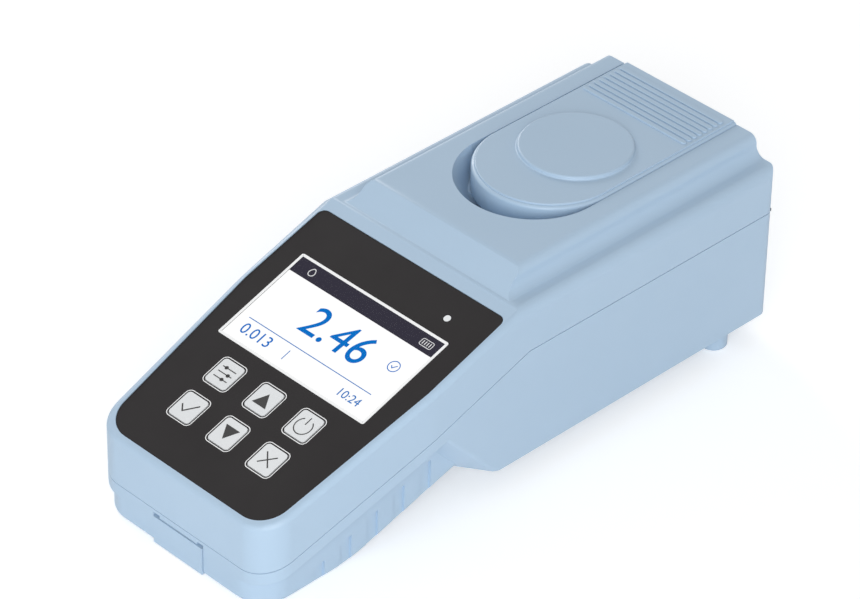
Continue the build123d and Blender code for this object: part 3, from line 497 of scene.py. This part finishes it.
nodeFinish = {
    "upper_housing": "caseBlue", "lower_housing": "caseBlue", "battery_cover": "caseBlue",
    "rear_foot_left": "caseBlue", "rear_foot_right": "caseBlue", "lid": "lidBlue",
    "housing_seal": "foam", "well_seal": "foam", "front_overlay": "sheetDark",
    "display_window": "window", "display_module": "module", "status_light": "pearl",
    "key_switches": "parts", "board_components": "parts", "lid_shield": "blackMoulding",
    "vial_chamber": "blackMoulding", "battery_tray": "blackMoulding", "main_board": "board",
    "source_board": "board", "scatter_board": "board", "transmission_board": "board",
    "board_screws": "steel", "chamber_screws": "steel", "housing_screws": "steel", "hinge_pins": "steel",
    "battery_contacts": "nickel", "battery_cells": "cell", "light_source": "epoxy",
    "scatter_detector": "epoxy", "transmission_detector": "epoxy", "optics_cable": "ribbon",
    **{key: "keyPale" for key in keyNames},
}
smoothed = {
    "upper_housing": "caseUpper", "lower_housing": "caseLower", "lid": "wellLid",
    "battery_cover": "batteryLid", "rear_foot_left": "footLeft", "rear_foot_right": "footRight",
    "vial_chamber": "vialWell", "lid_shield": "lidCup", "front_overlay": "panelFilm",
}
slotOf = {part["node"]: part["material_slot"] for part in frame["record"]["subparts"]}
bodyOf = {node: body for body, nodes in frame["record"]["behaviour"]["bodies"].items() for node in nodes}
sharpAngle = 32.0
weldDistance = 0.002 * mm
normalWeight = 80


def finishNodes():
    for node, finish in nodeFinish.items():
        mesh = frame["nodes"][node].data
        mesh.materials.clear()
        mesh.materials.append(finishes[finish])


def shadeRound(form):
    # smooth faces, with a crease wherever two of them meet at more than the sharp angle
    for edge in form.edges:
        edge.smooth = len(edge.link_faces) == 2 and edge.calc_face_angle(math.pi) < math.radians(sharpAngle)
    for face in form.faces:
        face.smooth = True


def smoothCopy(node, name):
    # the node's own shape, with its loose triangles joined so that round edges shade smoothly
    mesh = frame["nodes"][node].data.copy()
    mesh.name = name
    welded = bmesh.new()
    welded.from_mesh(mesh)
    bmesh.ops.remove_doubles(welded, verts=welded.verts, dist=weldDistance)
    shadeRound(welded)
    welded.to_mesh(mesh)
    welded.free()
    piece = bpy.data.objects.new(name, mesh)
    bpy.context.scene.collection.objects.link(piece)
    even = piece.modifiers.new("evenNormals", "WEIGHTED_NORMAL")
    even.keep_sharp = True
    even.weight = normalWeight
    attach(piece, bodyOf[node])
    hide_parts(node)
    return piece


keyShape = {
    "capHalf": (4.15 * mm, 4.55 * mm),      # half width and length of the moulded cap
    "openingHalf": (4.45 * mm, 4.85 * mm),  # the same of the film's opening
    "grow": (0.52 * mm, 0.58 * mm),         # how far cap and opening move outwards
    "flangeDepth": 0.76 * mm,
    "slack": 0.02 * mm,
}


def keyPlace(key):
    return panelSpot(jointOf[key]["pos_m"])[:2]


def widen(piece, key, half, opts):
    # every point inside the half sizes and above the flange moves away from the key's middle by grow
    mesh, grow = piece.data, opts["grow"]
    spots = np.zeros(len(mesh.vertices) * 3)
    mesh.vertices.foreach_get("co", spots)
    spots = spots.reshape(-1, 3)
    x, s, h = panelSpot(spots)
    dx, ds = x - keyPlace(key)[0], s - keyPlace(key)[1]
    slack = opts["slack"]
    inside = (abs(dx) < half[0] + slack) & (abs(ds) < half[1] + slack) & (h > -opts["flangeDepth"])
    step = np.sign(dx)[:, None] * grow[0] * across + np.sign(ds)[:, None] * grow[1] * uphill
    mesh.vertices.foreach_set("co", (spots + step * inside[:, None]).ravel())
    mesh.update()


finishNodes()
for node, name in smoothed.items():
    piece = smoothCopy(node, name)
    if node == "front_overlay":
        for key in keyNames:
            widen(piece, key, keyShape["openingHalf"], keyShape)
for key in keyNames:
    widen(smoothCopy(key, key.replace("_", "") + "Cap"), key, keyShape["capHalf"], keyShape)
print("CAD nodes finished")


# Finger crater in front of the lid, a dish between the recess's upright wall and the lid's foot

crater = {
    "rimRadius": 26.2 * mm,
    "centreY": 42.8 * mm,
    "top": 75.18 * mm,
    "lidRadius": 25.9 * mm,
    "lidSetBack": 8.2 * mm,      # how far the lid's round end has its centre behind the recess's
    "floor": 65.9 * mm,
    "extraDepth": 3.0 * mm,
    "underLid": 3.5 * mm,
    "backing": 0.3 * mm,
    "halfAngle": 86.0,
    "across": 16,
    "around": 96,
}


def makeCrater(opts):
    # at angle a the dish starts at the rim's radius and ends at sqrt(q^2 - (d sin a)^2) - d cos a
    # - b cos^2 a, with q the lid's radius, d its set-back and b how far the dish goes under it; on the
    # way it falls by (top - low) sin(90 u), with u from 0 to 1 and low = floor - extra depth x cos^2 a
    half = math.radians(opts["halfAngle"])
    a = np.linspace(-half, half, opts["around"])[:, None]
    u = np.linspace(0, 1, opts["across"])[None, :]
    setBack, ease = opts["lidSetBack"], np.cos(a) ** 2
    lidEdge = np.sqrt(opts["lidRadius"] ** 2 - (setBack * np.sin(a)) ** 2) - setBack * np.cos(a)
    end = lidEdge - opts["underLid"] * ease
    low = opts["floor"] - opts["extraDepth"] * ease
    radius = opts["rimRadius"] + (end - opts["rimRadius"]) * u
    height = opts["top"] - (opts["top"] - low) * np.sin(u * math.pi / 2)
    radius = np.hstack([radius, end, np.full_like(end, opts["rimRadius"] + opts["backing"])])
    height = np.hstack([height, low - opts["backing"], low - opts["backing"]])
    rings = np.stack([radius * np.sin(a), opts["centreY"] - radius * np.cos(a), height], -1)
    rows, columns = rings.shape[:2]
    faces = gridFaces(rows, columns, closeColumns=True)[:, ::-1].tolist()
    last = (rows - 1) * columns
    faces += [list(range(columns)), list(range(last, last + columns))[::-1]]
    dish = addMesh("craterDish", rings.reshape(-1, 3), faces, "caseBlue", "case")
    form = bmesh.new()
    form.from_mesh(dish.data)
    bmesh.ops.recalc_face_normals(form, faces=form.faces)
    shadeRound(form)
    form.to_mesh(dish.data)
    form.free()


makeCrater(crater)
print("finger crater ready")


# Film print: the window's white border and the ring round each key

windowLow, windowHigh = nodeBox("display_window")
windowMiddle = panelSpot((windowLow + windowHigh) / 2)
slopeCos, slopeSin = uphill[1], uphill[2]
windowSize = {
    "width": windowHigh[0] - windowLow[0],
    "length": (windowHigh[1] - windowLow[1] - panel["filmThickness"] * slopeSin) / slopeCos,
    "border": 1.0 * mm,
    "corner": 0.3 * mm,
}
windowPlace = (windowMiddle[0], windowMiddle[1])


def makeBorder(opts):
    width, length, band = opts["width"], opts["length"], opts["border"]
    line = roundedOutline(windowPlace, width - band, length - band, opts["corner"], 3)
    strip("windowBorder", line, band, filmTop - panel["printSink"], filmTop + panel["printRise"],
          "printWhite", "case", slotOf["display_window"], closed=True)


keyFace = {
    "ringWidth": 11.2 * mm,
    "ringLength": 12.0 * mm,
    "ringBand": 0.28 * mm,
    "ringRadius": 1.9 * mm,
    "inkRise": 0.03 * mm,
    "inkSink": 0.02 * mm,
}


def makeKeyRings(opts):
    band = opts["ringBand"]
    for key in keyNames:
        width, length = opts["ringWidth"] - band, opts["ringLength"] - band
        line = roundedOutline(keyPlace(key), width, length, opts["ringRadius"])
        strip(key.replace("_", "") + "Ring", line, band, filmTop - panel["printSink"],
              filmTop + panel["printRise"], "printWhite", "case", slotOf["front_overlay"], closed=True)


makeBorder(windowSize)
makeKeyRings(keyFace)
print("film print ready")


# Signs on the keys: plain pictograms that ride on their key

def ink(key, kind, number, shape, width=None):
    # a filled shape, or with a width a line along it
    name = key.replace("_", "") + kind + str(number)
    low, high = -keyFace["inkSink"], keyFace["inkRise"]
    if width is None:
        plate(name, shape, low, high, "keyInk", key, slotOf[key])
    else:
        strip(name, shape, width, low, high, "keyInk", key, slotOf[key])


def triangle(place, width, height, pointUp):
    x, s = place
    tip = s + height / 2 if pointUp else s - height / 2
    base = s - height / 2 if pointUp else s + height / 2
    corners = [(x - width / 2, base), (x + width / 2, base), (x, tip)]
    return corners if pointUp else corners[::-1]


signs = {
    "arrow": (6.2 * mm, 5.2 * mm),
    "powerRadius": 3.2 * mm,
    "powerDrop": 0.3 * mm,
    "powerArc": (125, 415),            # degrees, open at the top
    "powerBar": (0.5 * mm, 3.6 * mm),
    "powerStroke": 0.38 * mm,
    "sliderHalf": 3.1 * mm,
    "sliderPitch": 2.2 * mm,
    "sliderStroke": 0.36 * mm,
    "knobRadius": 0.7 * mm,
    "knobPlaces": {-1: 0.7 * mm, 0: 1.4 * mm, 1: -1.4 * mm},
    "tick": [(-2.9 * mm, 0.1 * mm), (-0.8 * mm, -2.1 * mm), (3.1 * mm, 2.4 * mm)],
    "tickStroke": 0.5 * mm,
    "crossHalf": 2.4 * mm,
    "crossStroke": 0.46 * mm,
}


def makeKeySigns(opts):
    for key, pointUp in (("up_key", True), ("down_key", False)):
        ink(key, "Arrow", 0, triangle(keyPlace(key), *opts["arrow"], pointUp))
    x, s = keyPlace("power_key")
    ring = arcLine((x, s - opts["powerDrop"]), opts["powerRadius"], *opts["powerArc"])
    ink("power_key", "Round", 0, ring, opts["powerStroke"])
    low, high = opts["powerBar"]
    ink("power_key", "Bar", 1, [(x, s + low), (x, s + high)], opts["powerStroke"])
    x, s = keyPlace("set_key")
    for i in (-1, 0, 1):   # three sliders, for settings
        level = s + i * opts["sliderPitch"]
        line = [(x - opts["sliderHalf"], level), (x + opts["sliderHalf"], level)]
        ink("set_key", "Line", 2 + i, line, opts["sliderStroke"])
        knob = arcLine((x + opts["knobPlaces"][i], level), opts["knobRadius"], 0, 345, 22)
        ink("set_key", "Knob", 2 + i, knob)
    x, s = keyPlace("enter_key")
    ink("enter_key", "Tick", 0, [(x + dx, s + ds) for dx, ds in opts["tick"]], opts["tickStroke"])
    x, s = keyPlace("escape_key")
    half = opts["crossHalf"]
    for turn in (1, -1):
        stroke = [(x - half, s - turn * half), (x + half, s + turn * half)]
        ink("escape_key", "Stroke", turn + 1, stroke, opts["crossStroke"])


makeKeySigns(signs)
print("key signs ready")


# The lit display under its window

display = {
    "groundDepth": 0.66 * mm,
    "layer": 0.03 * mm,
    "underBorder": 0.2 * mm,                   # how far the ground reaches under the border
    "glassThickness": 0.28 * mm,
    "barLength": 6.6 * mm,
    "stroke": 0.3 * mm,
    "reading": "2.46",
    "readingHeight": 11.8 * mm,
    "readingPlace": (0.8 * mm, 1.8 * mm),      # from the window's middle
    "readingShear": 0.06,
    "small": "0.013",
    "smallHeight": 4.3 * mm,
    "smallPlace": (11.0 * mm, 5.6 * mm),       # from the lower left corner
    "clock": "10:24",
    "clockHeight": 3.2 * mm,
    "clockPlace": (11.0 * mm, 4.8 * mm),       # from the lower right corner
    "ruleHeight": 9.6 * mm,
    "ruleEnds": (3.5 * mm, 6.0 * mm),
    "dividerPlace": 8.0 * mm,
    "dividerSpan": (3.2 * mm, 7.4 * mm),
    "markPlace": (8.0 * mm, 3.0 * mm),
    "markRadius": 2.1 * mm,
    "markStroke": 0.32 * mm,
    "markTick": [(-0.95 * mm, 0.0), (-0.2 * mm, -0.8 * mm), (1.05 * mm, 0.8 * mm)],
    "dropPlace": 7.5 * mm,
    "dropRadius": 1.25 * mm,
    "dropLower": 0.2 * mm,
    "dropTip": 0.42,
    "dropSteps": 40,
    "cellPlace": 5.6 * mm,
    "cellSize": (5.0 * mm, 2.7 * mm, 0.6 * mm),
    "cellStroke": 0.24 * mm,
    "cellBars": 4,
    "cellBarPitch": 1.0 * mm,
    "cellBarHalf": 0.8 * mm,
    "cellBarStroke": 0.32 * mm,
}


def rectangle(low, high):
    return [(low[0], low[1]), (high[0], low[1]), (high[0], high[1]), (low[0], high[1])]


def makeDisplay(opts):
    # layers from the ground up: ground, dark bar, figures and lines, signs on the bar, then the glass
    x, s = windowPlace
    shown = 2 * (windowSize["border"] - opts["underBorder"])
    width, length = windowSize["width"] - shown, windowSize["length"] - shown
    left, right = x - width / 2, x + width / 2
    bottom, top = s - length / 2, s + length / 2
    step = opts["layer"]
    ground = -opts["groundDepth"]
    high, over = ground + 2 * step, ground + 3 * step
    home = ("case", slotOf["display_module"])

    def line(name, points, stroke, finish, height=high, closed=False):
        strip(name, points, stroke, ground, height, finish, *home, closed=closed)

    def number(name, text, place, size, finish, shear=0.0):
        figures(name, text, place, size, ground, high, finish, *home, shear=shear)

    whole = rectangle((left, bottom), (right, top))
    plate("displayGround", whole, ground - step, ground, "displayWhite", *home)
    barFoot = top - opts["barLength"]
    darkBar = rectangle((left, barFoot), (right, top))
    plate("displayBar", darkBar, ground, ground + step, "displayBar", *home)
    dx, ds = opts["readingPlace"]
    number("displayReading", opts["reading"], (x + dx, s + ds), opts["readingHeight"], "displayBlue",
           opts["readingShear"])
    dx, ds = opts["smallPlace"]
    number("displaySmall", opts["small"], (left + dx, bottom + ds), opts["smallHeight"], "displayBlue")
    dx, ds = opts["clockPlace"]
    number("displayClock", opts["clock"], (right - dx, bottom + ds), opts["clockHeight"], "displayLine")
    start, end = opts["ruleEnds"]
    level = bottom + opts["ruleHeight"]
    line("displayRule", [(left + start, level), (right - end, level)], opts["stroke"], "displayLine")
    low, upper = opts["dividerSpan"]
    at = x - opts["dividerPlace"]
    line("displayDivider", [(at, bottom + low), (at, bottom + upper)], opts["stroke"], "displayLine")
    # ring with a tick, for a finished reading
    markX, markS = right - opts["markPlace"][0], s + opts["markPlace"][1]
    ring = arcLine((markX, markS), opts["markRadius"], 0, 352, 44)
    line("displayMarkRing", ring, opts["markStroke"], "displayBlue", closed=True)
    tick = [(markX + dx, markS + ds) for dx, ds in opts["markTick"]]
    line("displayMarkTick", tick, opts["markStroke"], "displayBlue")
    # on the dark bar, a drop whose radius is r (1 + k sin(a)^6) over its upper half, and a battery
    bar = (barFoot + top) / 2
    angle = np.radians(np.linspace(0, 360, opts["dropSteps"] + 1)[:-1])
    radius = opts["dropRadius"] * (1 + opts["dropTip"] * np.clip(np.sin(angle), 0, 1) ** 6)
    dropX, dropS = left + opts["dropPlace"], bar - opts["dropLower"]
    drop = np.column_stack([dropX + radius * np.cos(angle), dropS + radius * np.sin(angle)])
    line("displayDrop", drop, opts["stroke"], "printWhite", over, closed=True)
    cellX = right - opts["cellPlace"]
    cell = roundedOutline((cellX, bar), *opts["cellSize"], 4)
    line("displayCell", cell, opts["cellStroke"], "printWhite", over, closed=True)
    half = opts["cellBarHalf"]
    for i in range(opts["cellBars"]):
        at = cellX + (i - (opts["cellBars"] - 1) / 2) * opts["cellBarPitch"]
        ends = [(at, bar - half), (at, bar + half)]
        line("displayCellBar" + str(i), ends, opts["cellBarStroke"], "printWhite", over)
    halfWidth, halfLength = windowSize["width"] / 2, windowSize["length"] / 2
    pane = rectangle((x - halfWidth, s - halfLength), (x + halfWidth, s + halfLength))
    glass = plate("windowGlass", pane, filmTop - opts["glassThickness"], filmTop, "window", "case",
                  slotOf["display_window"])
    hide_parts("display_window")


makeDisplay(display)
print("display ready")
